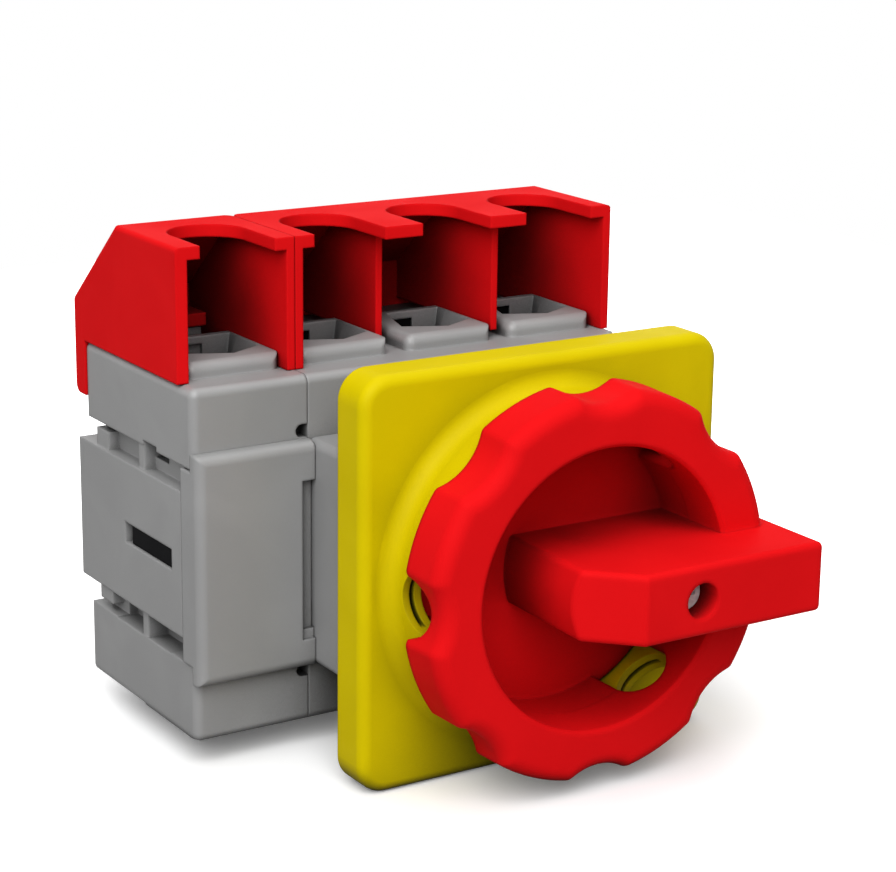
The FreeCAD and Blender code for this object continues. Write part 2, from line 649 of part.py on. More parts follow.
def clamp(pole):
    """Spring clamp under a line funnel: a looped steel strip with a foot on the fixed contact."""
    centre_y = POCKET_FRONT + CLAMP_R + CLEAR
    centre_z = POCKET_LOW + CLAMP_R + CLEAR
    x0 = pole - CLAMP_HALF
    x1 = pole + CLAMP_HALF
    seat = CHAMBER_BACK - STRIP_T
    hub = Vector(x0, centre_y, centre_z)
    loop = Part.makeCylinder(CLAMP_R, x1 - x0, hub, Vector(1, 0, 0))
    loop = loop.cut(Part.makeCylinder(CLAMP_R - CLAMP_T, x1 - x0, hub, Vector(1, 0, 0)))
    loop = loop.cut(box(x0, x1, centre_y, centre_y + CLAMP_R + 1, centre_z - 0.2, centre_z + CLAMP_R + 1))
    foot = box(x0, x1, centre_y, seat, centre_z - CLAMP_R, centre_z - CLAMP_R + CLAMP_T)
    top = centre_z + CLAMP_R
    outline = [(centre_y, top - CLAMP_T), (centre_y, top), (centre_y + 1.0, top),
               (seat - 0.2, centre_z + 0.6), (seat - 0.2, centre_z - 0.1)]
    return fuse(loop, foot, yz_prism(outline, x0, x1))


def neutral_housing():
    left = MODULE_LEFT
    right = -BLOCK_HALF - SEAM
    front = CAP_SKIRT_BACK + CAP_SEAT
    sections = both_sides(terminal_section(left, right, left))
    waist = box(left + GROOVE_DEPTH, right, front, GROOVE_REAR, -GROOVE_TOP - 1, GROOVE_TOP + 1)
    post = box(POST_LEFT, POST_RIGHT, POST_FRONT, POST_BACK, BODY_TOP - 1, SHELF_FOOT - CLEAR)
    body = fuse(sections[0], sections[1], waist, middle_block(left - CHEEK, right, front), post,
                *both_sides(terminal_funnel(NEUTRAL)), *groove_ribs(left, 1))
    cuts = groove_windows(left, 1) + pole_cuts(NEUTRAL)
    cuts.append(box(left - 2, left + CHAMBER_WALL + 1, SLOT_FRONT, SLOT_BACK, -SLOT_HALF, SLOT_HALF))
    cuts.append(box(right - CHAMBER_WALL - 1, right + 1, CAP_SKIRT_BACK - 1, SLOT_BACK, -SLOT_HALF, SLOT_HALF))
    for z in (-NOTCH_Z, NOTCH_Z):
        cuts.append(rod(right - 1.0, z, NOTCH_R, BODY_FRONT - 1, BODY_FRONT + NOTCH_DEPTH))
        cuts.append(box(right - 1.0, right + 1, BODY_FRONT - 1, BODY_FRONT + NOTCH_DEPTH, z - NOTCH_R, z + NOTCH_R))
    cuts += dowel_holes(right - DOWEL_REACH, right + 1)
    return body.cut(cuts)


def neutral_cap():
    """Front cap of the neutral module: a rounded plate with a skirt that closes the contact chamber."""
    left = MODULE_LEFT - CHEEK
    right = -BLOCK_HALF - SEAM
    seat = BODY_FRONT - CAP_SEAT
    plate = box(left, right, CAP_FRONT, seat, -CAP_TOP, CAP_TOP)
    plate = round_edges(plate, CAP_ROUND, lambda b: b.YMax < CAP_FRONT + SEAM and
                        (b.XMax < right - SEAM or b.XLength > POLE_PITCH / 2))
    skirt = box(left, right, BODY_FRONT - 1, CAP_SKIRT_BACK, -CAP_SKIRT_TOP, CAP_SKIRT_TOP)
    room = box(left + GROOVE_DEPTH, right - BLADE_INSET, seat, CAP_SKIRT_BACK + 1, -CHAMBER_TOP, CHAMBER_TOP)
    edge = right - CAP_POCKET_WIDTH
    pocket = box(edge, right + 1, CAP_FRONT - 1, CAP_FRONT + CAP_POCKET_DEPTH, CAP_POCKET_FOOT, CAP_POCKET_TOP)
    ledge = box(edge, right, CAP_FRONT + 0.6, CAP_FRONT + CAP_POCKET_DEPTH + SEAM,
                CAP_POCKET_FOOT, CAP_POCKET_FOOT + CAP_LEDGE)
    slot = box(edge - 1, right + 1, CAP_SKIRT_BACK - 1, CAP_SKIRT_BACK + 1, -SLOT_HALF, SLOT_HALF)
    return fuse(fuse(plate, skirt).cut([room, pocket, slot]), ledge)


def mechanism_housing():
    """Box between body and plate, with the cam's cavity open to the back."""
    block = box(-BLOCK_HALF, BLOCK_HALF, PLATE_T, BODY_FRONT, -MECH_TOP, MECH_TOP)
    block = round_edges(block, BODY_ROUND, lambda b: b.XLength + b.ZLength < SEAM or b.YMax < PLATE_T + SEAM)
    cuts = [rod(0, 0, HUB_BORE_R, PLATE_T - 1, BODY_FRONT + 1),
            rod(0, 0, CAVITY_R, PLATE_T + MECH_WALL, BODY_FRONT + 1)]
    room_top = MECH_TOP - MECH_WALL
    for side in (-1, 1):
        x0, x1 = sorted((side * SIDE_ROOM, side * (BLOCK_HALF - MECH_WALL)))
        cuts.append(box(x0, x1, PLATE_T + MECH_WALL, BODY_FRONT + 1, -room_top, room_top))
    for x, z in corners(SCREW_POST_X, SCREW_POST_Z):
        cuts.append(rod(x, z, POST_SCREW_R + SEAM, PLATE_T, BODY_FRONT + 1))
        cuts.append(rod(x, z, POST_HEAD_R + SEAM, PLATE_T - 1, POST_HEAD_BACK))
    cuts += [rod(x, z, PLATE_SCREW_R, PLATE_T - 1, PLATE_SCREW_END) for x, z in corners(PLATE_SCREW_X, PLATE_SCREW_Z)]
    return block.cut(cuts)


def countersunk_screw(x, z):
    """Plate screw whose flat head is flush with the recess floor under the knob's bowl."""
    head = Part.makeCone(PLATE_SCREW_HEAD_R, PLATE_SCREW_R, PLATE_SCREW_HEAD, Vector(x, RECESS_FLOOR, z),
                         Vector(0, 1, 0))
    shank = rod(x, z, PLATE_SCREW_R, RECESS_FLOOR + PLATE_SCREW_HEAD, PLATE_SCREW_END)
    slit = box(x - CROSS_HALF, x + CROSS_HALF, RECESS_FLOOR - 1, RECESS_FLOOR + 0.8, z - CROSS_SLIT, z + CROSS_SLIT)
    return fuse(head, shank).cut(slit)


def plate_screws():
    return Part.makeCompound([countersunk_screw(x, z) for x, z in corners(PLATE_SCREW_X, PLATE_SCREW_Z)])


def housing_screw(x, z):
    head = rod(x, z, POST_HEAD_R, POST_HEAD_FRONT, POST_HEAD_BACK)
    shank = rod(x, z, POST_SCREW_R, POST_HEAD_BACK, POST_SCREW_END)
    slit = box(x - CROSS_HALF, x + CROSS_HALF, POST_HEAD_FRONT - 1, POST_HEAD_FRONT + CROSS_DEPTH,
               z - CROSS_SLIT, z + CROSS_SLIT)
    return fuse(head, shank).cut(slit)


def housing_screws():
    return Part.makeCompound([housing_screw(x, z) for x, z in corners(SCREW_POST_X, SCREW_POST_Z)])


def padlock_passages(inner, outer, floor):
    """Radial padlock holes between two radii; with a floor they run back to it as U-shaped slots."""
    holes = []
    for angle in PADLOCK_ANGLES:
        hole = Part.makeCylinder(PADLOCK_R, outer - inner, Vector(inner, PADLOCK_Y, 0), Vector(1, 0, 0))
        if floor is not None:
            hole = fuse(hole, box(inner, outer, PADLOCK_Y, floor, -PADLOCK_R, PADLOCK_R))
        hole.rotate(Vector(0, 0, 0), Vector(0, 1, 0), -angle)
        holes.append(hole)
    return holes


def collar():
    """Collar on the plate's face with a hollow foot, and the guide wall inside the knob's ring."""
    foot_r = COLLAR_R + 0.2
    rim_r = foot_r + COLLAR_FOOT
    slack = COLLAR_FOOT * cos(radians(45))
    sink = RECESS_FLOOR + 0.5
    arc = Part.Arc(Vector(foot_r, -COLLAR_FOOT, 0), Vector(rim_r - slack, -COLLAR_FOOT + slack, 0),
                   Vector(rim_r, 0, 0)).toShape()
    turns = [(rim_r, 0), (rim_r, sink), (RECESS_R, sink), (RECESS_R, GUIDE_TOP), (GUIDE_OUT, GUIDE_TOP),
             (GUIDE_OUT, COLLAR_TOP), (COLLAR_R - COLLAR_EDGE, COLLAR_TOP), (COLLAR_R, COLLAR_TOP + COLLAR_EDGE),
             (foot_r, -COLLAR_FOOT)]
    rest = Part.makePolygon([Vector(r, y, 0) for r, y in turns])
    return Part.Face(Part.Wire([arc] + rest.Edges)).revolve(Vector(0, 0, 0), Vector(0, 1, 0), 360)


def collar_gap():
    """Gap between the collar and the guide wall, bridged on both sides of each padlock hole."""
    inner = COLLAR_R - COLLAR_WALL
    gap = revolve([(GUIDE_OUT, COLLAR_TOP - 0.01), (inner, COLLAR_TOP - 0.01), (inner, GROOVE_FLOOR),
                   (GUIDE_OUT, GROOVE_FLOOR)])
    bridges = []
    for angle in PADLOCK_ANGLES:
        for side in (-1, 1):
            rib = box(GUIDE_OUT - 1, COLLAR_R, COLLAR_TOP - 1, 0, -0.6, 0.6)
            rib.translate(Vector(0, 0, side * (PADLOCK_R + 0.2)))
            rib.rotate(Vector(0, 0, 0), Vector(0, 1, 0), -angle)
            bridges.append(rib)
    return gap.cut(bridges)


def front_plate():
    slab = box(-PLATE_HALF, PLATE_HALF, 0, PLATE_T, -PLATE_HALF, PLATE_HALF)
    slab = round_edges(slab, PLATE_CORNER, lambda b: b.XLength + b.ZLength < SEAM)
    slab = round_edges(slab, PLATE_EDGE, lambda b: b.YMax < SEAM)
    room = PLATE_HALF - PLATE_WALL
    hollow = box(-room, room, PLATE_SKIN, PLATE_T + 1, -room, room)
    hollow = round_edges(hollow, PLATE_CORNER - PLATE_WALL, lambda b: b.XLength + b.ZLength < SEAM)
    keep = [rod(0, 0, HUB_BORE_R + HUB_WALL, 0, PLATE_T)]
    keep += [rod(x, z, PLATE_SCREW_HEAD_R + 1.4, 0, PLATE_T) for x, z in corners(PLATE_SCREW_X, PLATE_SCREW_Z)]
    keep.append(box(-PLATE_HALF, PLATE_HALF, 0, PLATE_T, -PLATE_RIB_HALF, PLATE_RIB_HALF))
    keep.append(box(-PLATE_RIB_HALF, PLATE_RIB_HALF, 0, PLATE_T, -PLATE_HALF, PLATE_HALF))
    body = slab.cut(hollow.cut(keep))
    body = body.cut(rod(0, 0, RECESS_R, -1, RECESS_FLOOR))
    body = body.fuse(collar()).cut(collar_gap())
    cuts = padlock_passages(RECESS_R - 1, COLLAR_R + COLLAR_FOOT + 3, None)
    cuts.append(rod(0, 0, HUB_BORE_R, 0, PLATE_T + 1))
    for x, z in corners(PLATE_SCREW_X, PLATE_SCREW_Z):
        cuts.append(rod(x, z, PLATE_SCREW_R + SEAM, 0, PLATE_T + 1))
        cuts.append(Part.makeCone(PLATE_SCREW_HEAD_R + SEAM, PLATE_SCREW_R + SEAM, PLATE_SCREW_HEAD,
                                  Vector(x, RECESS_FLOOR, z), Vector(0, 1, 0)))
    return body.cut(cuts).removeSplitter()


def scalloped_ring():
    """Slightly drafted outer wall of the knob with finger scallops and a rounded rim."""
    height = RING_REAR - RING_FRONT
    ring = Part.makeCone(RING_R_FRONT, RING_R_REAR, height, Vector(0, RING_FRONT, 0), Vector(0, 1, 0))
    cutters = []
    for number in range(SCALLOPS):
        angle = radians(number * 360.0 / SCALLOPS)
        cutters.append(rod(SCALLOP_AXIS * cos(angle), SCALLOP_AXIS * sin(angle), SCALLOP_R,
                           RING_FRONT - 1, RING_REAR + 1))
    ring = ring.cut(cutters)
    ring = round_edges(ring, SCALLOP_EDGE, lambda b: b.YLength > height - SEAM and b.XLength + b.ZLength < 4)
    return round_edges(ring, RIM_EDGE, lambda b: b.YMax < RING_FRONT + SEAM)


def grip_bar():
    """Bevelled grip bar: a bowed root, a flat front, and an end that passes over the ring."""
    left = BAR_ROOT_AXIS - BAR_ROOT_FRONT_R - 1
    skin = BOWL_R + 0.5
    outline = [(left, 1.0), (left, BAR_FRONT + BAR_CREST_X - left), (BAR_CREST_X, BAR_FRONT),
               (BAR_END, BAR_FRONT), (BAR_END, BAR_END_BACK), (RING_INNER, BAR_END_BACK),
               (RING_INNER, RING_REAR), (skin, RING_REAR), (skin, 1.0)]
    bar = xy_prism(outline, -BAR_HALF, BAR_HALF)
    root = Part.makeCone(BAR_ROOT_FRONT_R, BAR_ROOT_BACK_R, 1.0 - BAR_FRONT, Vector(BAR_ROOT_AXIS, BAR_FRONT, 0),
                         Vector(0, 1, 0))
    rest = box(0, BAR_END + 1, BAR_FRONT - 1, 2, -BAR_HALF - 1, BAR_HALF + 1)
    bar = bar.common(root.fuse(rest)).removeSplitter()
    return round_edges(bar, BAR_EDGE, lambda b: b.YMax < BAR_FRONT + SEAM or
                       b.XMin > BAR_END - SEAM and b.YLength > BAR_HALF or
                       b.XMax < BAR_CREST_X + SEAM and (b.YMax < BAR_CORE_FRONT or b.YLength > BAR_HALF))


def knob():
    wall_r = BOWL_R + BOWL_WALL
    bowl = revolve([(0, FLOOR_FRONT), (BOWL_R + 0.1, FLOOR_FRONT), (BOWL_R + 0.1, RING_REAR), (wall_r, RING_REAR),
                    (wall_r, FLOOR_BACK), (0, FLOOR_BACK)])
    bowl = bowl.cut(padlock_passages(BOWL_R - 3, wall_r + 1, FLOOR_FRONT))
    mouth = Part.makeCone(BOWL_R + BOWL_EDGE, BOWL_R, BOWL_EDGE, Vector(0, RING_FRONT, 0), Vector(0, 1, 0))
    ring = scalloped_ring().cut([rod(0, 0, BOWL_R, RING_FRONT - 1, RING_REAR + 1), mouth])
    groove = revolve([(wall_r, RING_FRONT + RIM_T), (RING_INNER, RING_FRONT + RIM_T),
                      (RING_INNER, RING_REAR + 1), (wall_r, RING_REAR + 1)])
    body = fuse(ring, bowl, rod(0, 0, HUB_R, 0, HUB_BACK), grip_bar())
    cuts = [groove] + padlock_passages(BOWL_R - 3, RING_R_REAR + 3, None)
    cuts.append(rod(SCREW_X, 0, SCREW_HEAD_R + SEAM, BAR_FRONT - 1, SCREW_HEAD_Y + SCREW_HEAD_T))
    cuts.append(rod(SCREW_X, 0, SCREW_R + SEAM, BAR_FRONT, HUB_BACK + 1))
    core_half = BAR_HALF - CORE_WALL
    core_left = BAR_CREST_X - CORE_WALL * 1.5
    cuts.append(box(core_left, SCREW_X - SCREW_BOSS_R, BAR_CORE_FRONT, HUB_BACK + 1, -core_half, core_half))
    cuts.append(box(SCREW_X + SCREW_BOSS_R, BOWL_R - CORE_WALL, BAR_FRONT + CORE_WALL * 2, HUB_BACK + 1,
                    -core_half, core_half))
    return body.cut(cuts).removeSplitter()


def knob_screw():
    """Pan-head screw with a cross recess, from the bar's counterbore into the drive disc."""
    head_back = SCREW_HEAD_Y + SCREW_HEAD_T
    head = rod(SCREW_X, 0, SCREW_HEAD_R, SCREW_HEAD_Y, head_back)
    head = round_edges(head, SCREW_HEAD_EDGE, lambda b: b.YMax < SCREW_HEAD_Y + SEAM)
    shank = rod(SCREW_X, 0, SCREW_R, head_back, FLANGE_FRONT + SCREW_BITE)
    front = SCREW_HEAD_Y - 1
    floor = SCREW_HEAD_Y + CROSS_DEPTH
    cross = [box(SCREW_X - CROSS_HALF, SCREW_X + CROSS_HALF, front, floor, -CROSS_SLIT, CROSS_SLIT),
             box(SCREW_X - CROSS_SLIT, SCREW_X + CROSS_SLIT, front, floor, -CROSS_HALF, CROSS_HALF)]
    return fuse(head, shank).cut(cross)


def square_bore(y0, y1):
    half = SHAFT_HALF + SHAFT_FIT
    return box(-half, half, y0, y1, -half, half)


def drive_disc():
    body = fuse(rod(0, 0, DISC_R, HUB_BACK, FLANGE_FRONT), rod(0, 0, FLANGE_R, FLANGE_FRONT, FLANGE_BACK))
    return body.cut([square_bore(SHAFT_FRONT, FLANGE_BACK + 1),
                     rod(SCREW_X, 0, SCREW_R, HUB_BACK - 1, FLANGE_FRONT + SCREW_BITE)])


def drive_shaft():
    shaft = box(-SHAFT_HALF, SHAFT_HALF, SHAFT_FRONT, SHAFT_BACK, -SHAFT_HALF, SHAFT_HALF)
    return shaft.makeChamfer(SHAFT_CHAMFER, [edge for edge in shaft.Edges if edge.BoundBox.YLength < SEAM])


def ramp_cutter():
    """Space above one helical ramp: it climbs by the carrier's travel over a quarter turn."""
    pitch = TRAVEL * 4
    inner = Part.makeHelix(pitch, TRAVEL, RAMP_INNER_R, 0, True)
    outer = Part.makeHelix(pitch, TRAVEL, CAM_R + 1.0, 0, True)
    surface = Part.makeRuledSurface(inner.Edges[0], outer.Edges[0])
    space = surface.extrude(Vector(0, 0, TRAVEL + 1))
    space.rotate(Vector(0, 0, 0), Vector(1, 0, 0), -90)
    space.translate(Vector(0, CAM_LOW, 0))
    return space


def dwell_cutter():
    """Short flat at the foot of a ramp, wide enough for the follower's lug."""
    spread = degrees(asin(LUG_THICK / 2 / (LUG_RADIUS - LUG_HALF))) + 6.0
    sector = Part.makeCylinder(CAM_R + 1, TRAVEL + 1, Vector(0, 0, 0), Vector(0, 0, 1), spread)
    sector = sector.cut(Part.makeCylinder(RAMP_INNER_R, TRAVEL + 1))
    sector.rotate(Vector(0, 0, 0), Vector(1, 0, 0), -90)
    sector.translate(Vector(0, CAM_LOW, 0))
    return sector


def cam():
    body = rod(0, 0, CAM_R, CAM_FRONT, CAM_HIGH)
    cuts = [square_bore(CAM_FRONT - 1, CAM_HIGH + 1)]
    for turn in (0, 180):
        for cutter in (ramp_cutter(), dwell_cutter()):
            cutter.rotate(Vector(0, 0, 0), Vector(0, 1, 0), turn)
            cuts.append(cutter)
    return body.cut(cuts)


def cover_room(front, x0, x1):
    """Space under a terminal cover, from a front depth back to the rear wall."""
    roof = COVER_TOP - COVER_T
    slope = (COVER_TOP - SLOPE_FOOT) / (COVER_REAR - ROOF_BACK)
    drop = COVER_T * (slope ** 2 + 1) ** 0.5
    bend = ROOF_BACK + (COVER_T - drop) / slope
    foot = COVER_TOP - drop - (SKIRT_FRONT - ROOF_BACK) * slope
    return yz_prism([(front, COVER_FOOT - 1), (front, roof), (bend, roof), (SKIRT_FRONT, foot),
                     (SKIRT_FRONT, COVER_FOOT - 1)], x0, x1)


def terminal_cover(left, right, seam_left, left_wall, right_wall, poles):
    outline = [(COVER_FRONT, COVER_FOOT), (COVER_FRONT, COVER_TOP), (ROOF_BACK, COVER_TOP),
               (COVER_REAR, SLOPE_FOOT), (COVER_REAR, SKIRT_FOOT), (SKIRT_FRONT, SKIRT_FOOT),
               (SKIRT_FRONT, COVER_FOOT)]
    seam, outer = (left, right) if seam_left else (right, left)
    shell = yz_prism(outline, left, right)
    shell = round_edges(shell, SEAM_EDGE, lambda b: abs(b.XMin - seam) + b.XLength < 0.01 and
                        b.ZMin > SLOPE_FOOT - SEAM and b.YLength > 1 and b.ZLength > 1)
    shell = round_edges(shell, COVER_EDGE, lambda b: abs(b.XMin - outer) + b.XLength < 0.01 and
                        b.ZMin > SLOPE_FOOT - SEAM and b.YLength > 1)
    shell = round_edges(shell, SKIRT_EDGE, lambda b: b.YMin > COVER_REAR - SEAM and b.ZMax < SKIRT_FOOT + SEAM)
    room = cover_room(COVER_FRONT - 1, left + left_wall, right - right_wall)
    dividers = []
    for pole, setback in zip(poles[:-1], DIVIDER_SETS):
        x = pole + POLE_PITCH / 2
        wall = cover_room(COVER_FRONT + setback, x - DIVIDER_T / 2, x + DIVIDER_T / 2)
        foot = box(x - DIVIDER_T, x + DIVIDER_T, COVER_FRONT, COVER_REAR, 0, COVER_FOOT + DIVIDER_FOOT)
        dividers.append(wall.cut(foot))
    cuts = [room.cut(dividers) if dividers else room]
    roof = COVER_TOP - COVER_T - 1
    for pole in poles:
        cuts.append(Part.makeCylinder(CUT_R, COVER_T + 2, Vector(pole, CUT_Y, roof)))
        cuts.append(box(pole - CUT_R, pole + CUT_R, COVER_FRONT - 1, CUT_Y, roof, COVER_TOP + 1))
    return shell.cut(cuts).removeSplitter()


def main_terminal_cover():
    return terminal_cover(-BLOCK_HALF + COVER_GAP, BLOCK_HALF + COVER_OUT, True, SIDE_WALL, SIDE_WALL, MAIN_POLES)


def neutral_terminal_cover():
    left = MODULE_LEFT - NEUTRAL_COVER_OUT
    cover = terminal_cover(left, -BLOCK_HALF - COVER_GAP, False, COVER_T, SIDE_WALL, [NEUTRAL])
    shelf = box(left + 1, POST_RIGHT + SHELF_OVER, POST_FRONT - SHELF_OVER, SKIRT_FRONT + 1,
                SHELF_FOOT, SHELF_FOOT + SHELF_T)
    return fuse(cover, shelf)


def build():
    os.makedirs("parts", exist_ok=True)
    save("contact_housing", contact_housing())
    save("mechanism_housing", mechanism_housing())
    save("neutral_housing", neutral_housing())
    save("neutral_cap", neutral_cap())
    save("main_terminal_cover", main_terminal_cover())
    save("neutral_terminal_cover", neutral_terminal_cover())
    save("front_plate", front_plate())
    save("knob", knob())
    save("knob_screw", knob_screw())
    save("drive_disc", drive_disc())
    save("drive_shaft", drive_shaft())
    save("cam", cam())
    save("main_carrier", main_carrier())
    save("neutral_carrier", neutral_carrier())
    save("coupling_link", coupling_link())
    save("joining_dowels", joining_dowels())
    save("housing_screws", housing_screws())
    save("plate_screws", plate_screws())
    save("rail_slide", rail_slide())
    save("rail_spring", rail_spring())
    for number, pole in enumerate(POLES, 1):
        save("line_contact_%d" % number, contact_strip(pole))
        save("load_contact_%d" % number, flip(contact_strip(pole)))
        save("line_clamp_%d" % number, clamp(pole))
        save("load_clamp_%d" % number, flip(clamp(pole)))
        save("bridge_%d" % number, bridge(pole))
        save("contact_spring_%d" % number, contact_spring(pole))


build()
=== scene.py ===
import json
import math
import bmesh
import bpy
from mathutils import Matrix, Vector


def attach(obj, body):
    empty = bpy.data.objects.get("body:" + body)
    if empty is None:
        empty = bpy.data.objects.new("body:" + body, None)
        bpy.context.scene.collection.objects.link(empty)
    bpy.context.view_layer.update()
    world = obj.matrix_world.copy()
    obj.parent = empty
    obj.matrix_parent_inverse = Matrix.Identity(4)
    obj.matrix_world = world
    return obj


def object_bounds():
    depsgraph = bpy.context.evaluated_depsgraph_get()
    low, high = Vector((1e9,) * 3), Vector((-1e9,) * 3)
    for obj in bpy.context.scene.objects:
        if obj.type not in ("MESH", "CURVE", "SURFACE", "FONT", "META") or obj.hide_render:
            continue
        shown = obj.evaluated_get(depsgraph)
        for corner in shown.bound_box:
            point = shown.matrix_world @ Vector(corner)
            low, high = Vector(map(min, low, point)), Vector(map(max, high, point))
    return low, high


# Rotary switch disconnector on a white ground: finishes, small inserts, floor, lamps and camera.
# Lengths are metres in the row frame, and MM turns millimetres into metres. The plate frame has its
# origin where the knob's axis meets the front of the plate: X right, Y back, Z up.
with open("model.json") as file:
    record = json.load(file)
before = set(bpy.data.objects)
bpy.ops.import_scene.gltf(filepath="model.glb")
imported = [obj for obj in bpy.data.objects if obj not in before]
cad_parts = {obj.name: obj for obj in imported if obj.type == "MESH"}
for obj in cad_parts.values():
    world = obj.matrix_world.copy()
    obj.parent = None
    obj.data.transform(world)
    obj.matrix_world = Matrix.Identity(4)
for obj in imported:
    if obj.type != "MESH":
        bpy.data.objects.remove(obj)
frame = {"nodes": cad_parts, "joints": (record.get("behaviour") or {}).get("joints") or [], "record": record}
MM = 0.001
CAD_BOX = [list(corner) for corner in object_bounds()]
MIDDLE = (Vector(CAD_BOX[0]) + Vector(CAD_BOX[1])) / 2
HANDLE = next(joint for joint in frame["joints"] if joint["name"] == "handle_turn")
PLATE_FACE = Vector(HANDLE["pos_m"])
WHITE = "#FFFFFF"
BLOCK_POLES = 3
POLE_PITCH_MM = 20


def linear(hex_colour):
    """Turn an sRGB hex colour into linear RGBA."""
    channels = [int(hex_colour[i:i + 2], 16) / 255 for i in (1, 3, 5)]
    return [c / 12.92 if c <= 0.04045 else ((c + 0.055) / 1.055) ** 2.4 for c in channels] + [1.0]


def add(tree, kind, inputs=None, **settings):
    """Add a node, set its properties, and fill or link its inputs."""
    made = tree.nodes.new(kind)
    for name, value in settings.items():
        setattr(made, name, value)
    for name, value in (inputs or {}).items():
        if isinstance(value, bpy.types.NodeSocket):
            tree.links.new(value, made.inputs[name])
        else:
            made.inputs[name].default_value = value
    return made


def new_material(name):
    material = bpy.data.materials.new(name)
    material.use_nodes = True
    material.node_tree.nodes.clear()
    return material, material.node_tree


def link_object(name, data):
    made = bpy.data.objects.new(name, data)
    bpy.context.scene.collection.objects.link(made)
    return made


def moulded_plastic(name, colour, shade, painted_shade, hollow_mm, open_at, roughness, grain_mm, relief_mm, edge_mm,
                    specular):
    """Injection-moulded plastic with the fine spark-eroded grain of its mould.

    The grain is drawn coarser than the real 0.05 mm so that it shows. Slow flow marks, about 18 mm long,
    vary colour and gloss between colour and shade. Moulded edges are softened by edge_mm. Shade is painted
    into the colour: where less than open_at of the sky is open within about hollow_mm, the colour darkens
    towards the dark painted shade tone.
    """
    flow_mm = 18
    grain_share = 0.35
    material, tree = new_material(name)
    place = add(tree, "ShaderNodeTexCoord").outputs["Object"]
    grain = add(tree, "ShaderNodeTexNoise", {"Vector": place, "Scale": 1 / (grain_mm * MM), "Detail": 2.0,
                                             "Roughness": 0.6})
    flow = add(tree, "ShaderNodeTexNoise", {"Vector": place, "Scale": 1 / (flow_mm * MM), "Detail": 3.0,
                                            "Roughness": 0.45, "Distortion": 0.6})
    tone = add(tree, "ShaderNodeMapRange", {"Value": flow.outputs["Fac"], "From Min": 0.3, "From Max": 0.7,
                                            "To Min": 0.0, "To Max": 1.0})
    speck = add(tree, "ShaderNodeMath", {0: grain.outputs["Fac"], 1: grain_share}, operation="MULTIPLY")
    blend = add(tree, "ShaderNodeMath", {0: tone.outputs["Result"], 1: speck.outputs[0]}, operation="ADD",
                use_clamp=True)
    paint = add(tree, "ShaderNodeMix", {"Factor": blend.outputs[0], "A": linear(colour), "B": linear(shade)},
                data_type="RGBA")
    # Painted shade: ambient occlusion darkens the colour in pockets and recesses towards the dark shade tone.
    open_sky = add(tree, "ShaderNodeAmbientOcclusion", {"Distance": hollow_mm * MM}, samples=8)
    hollow = add(tree, "ShaderNodeMapRange", {"Value": open_sky.outputs["AO"], "From Min": 0.05,
                                               "From Max": open_at})
    body = add(tree, "ShaderNodeMix", {"Factor": hollow.outputs["Result"], "A": linear(painted_shade),
                                       "B": paint.outputs["Result"]}, data_type="RGBA")
    gloss = add(tree, "ShaderNodeMapRange", {"Value": flow.outputs["Fac"], "From Min": 0.3, "From Max": 0.7,
                                             "To Min": roughness - 0.04, "To Max": roughness + 0.05})
    edge = add(tree, "ShaderNodeBevel", {"Radius": edge_mm * MM}, samples=6)
    bump = add(tree, "ShaderNodeBump", {"Height": grain.outputs["Fac"], "Distance": relief_mm * MM,
                                        "Strength": 0.5, "Normal": edge.outputs["Normal"]})
    shader = add(tree, "ShaderNodeBsdfPrincipled", {"Base Color": body.outputs["Result"],
                                                    "Roughness": gloss.outputs["Result"],
                                                    "Normal": bump.outputs["Normal"]})
    shader.inputs["Specular IOR Level"].default_value = specular
    add(tree, "ShaderNodeOutputMaterial", {"Surface": shader.outputs["BSDF"]})
    return material


def plated_metal(name, colour, shade, metallic, roughness, streak_mm):
    """Metal with fine lines along Y and a patchy surface tone.

    The lines are streak_mm apart, drawn coarser than the real 0.02 mm so that they show, and the patches
    are about 0.9 mm across. Relief is 0.01 mm.
    """
    patch_mm = 0.9
    relief_mm = 0.01
    material, tree = new_material(name)
    place = add(tree, "ShaderNodeTexCoord").outputs["Object"]
    stretched = add(tree, "ShaderNodeMapping", {"Vector": place, "Scale": (1.0, 0.12, 1.0)})
    lines = add(tree, "ShaderNodeTexNoise", {"Vector": stretched.outputs["Vector"],
                                             "Scale": 1 / (streak_mm * MM), "Detail": 3.0})
    patches = add(tree, "ShaderNodeTexNoise", {"Vector": place, "Scale": 1 / (patch_mm * MM), "Detail": 4.0})
    paint = add(tree, "ShaderNodeMix", {"Factor": patches.outputs["Fac"], "A": linear(colour),
                                        "B": linear(shade)}, data_type="RGBA")
    gloss = add(tree, "ShaderNodeMapRange", {"Value": lines.outputs["Fac"], "To Min": roughness - 0.08,
                                             "To Max": roughness + 0.12})
    bump = add(tree, "ShaderNodeBump", {"Height": lines.outputs["Fac"], "Distance": relief_mm * MM,
                                        "Strength": 0.4})
    shader = add(tree, "ShaderNodeBsdfPrincipled", {"Base Color": paint.outputs["Result"],
                                                    "Roughness": gloss.outputs["Result"],
                                                    "Normal": bump.outputs["Normal"]})
    shader.inputs["Metallic"].default_value = metallic
    add(tree, "ShaderNodeOutputMaterial", {"Surface": shader.outputs["BSDF"]})
    return material


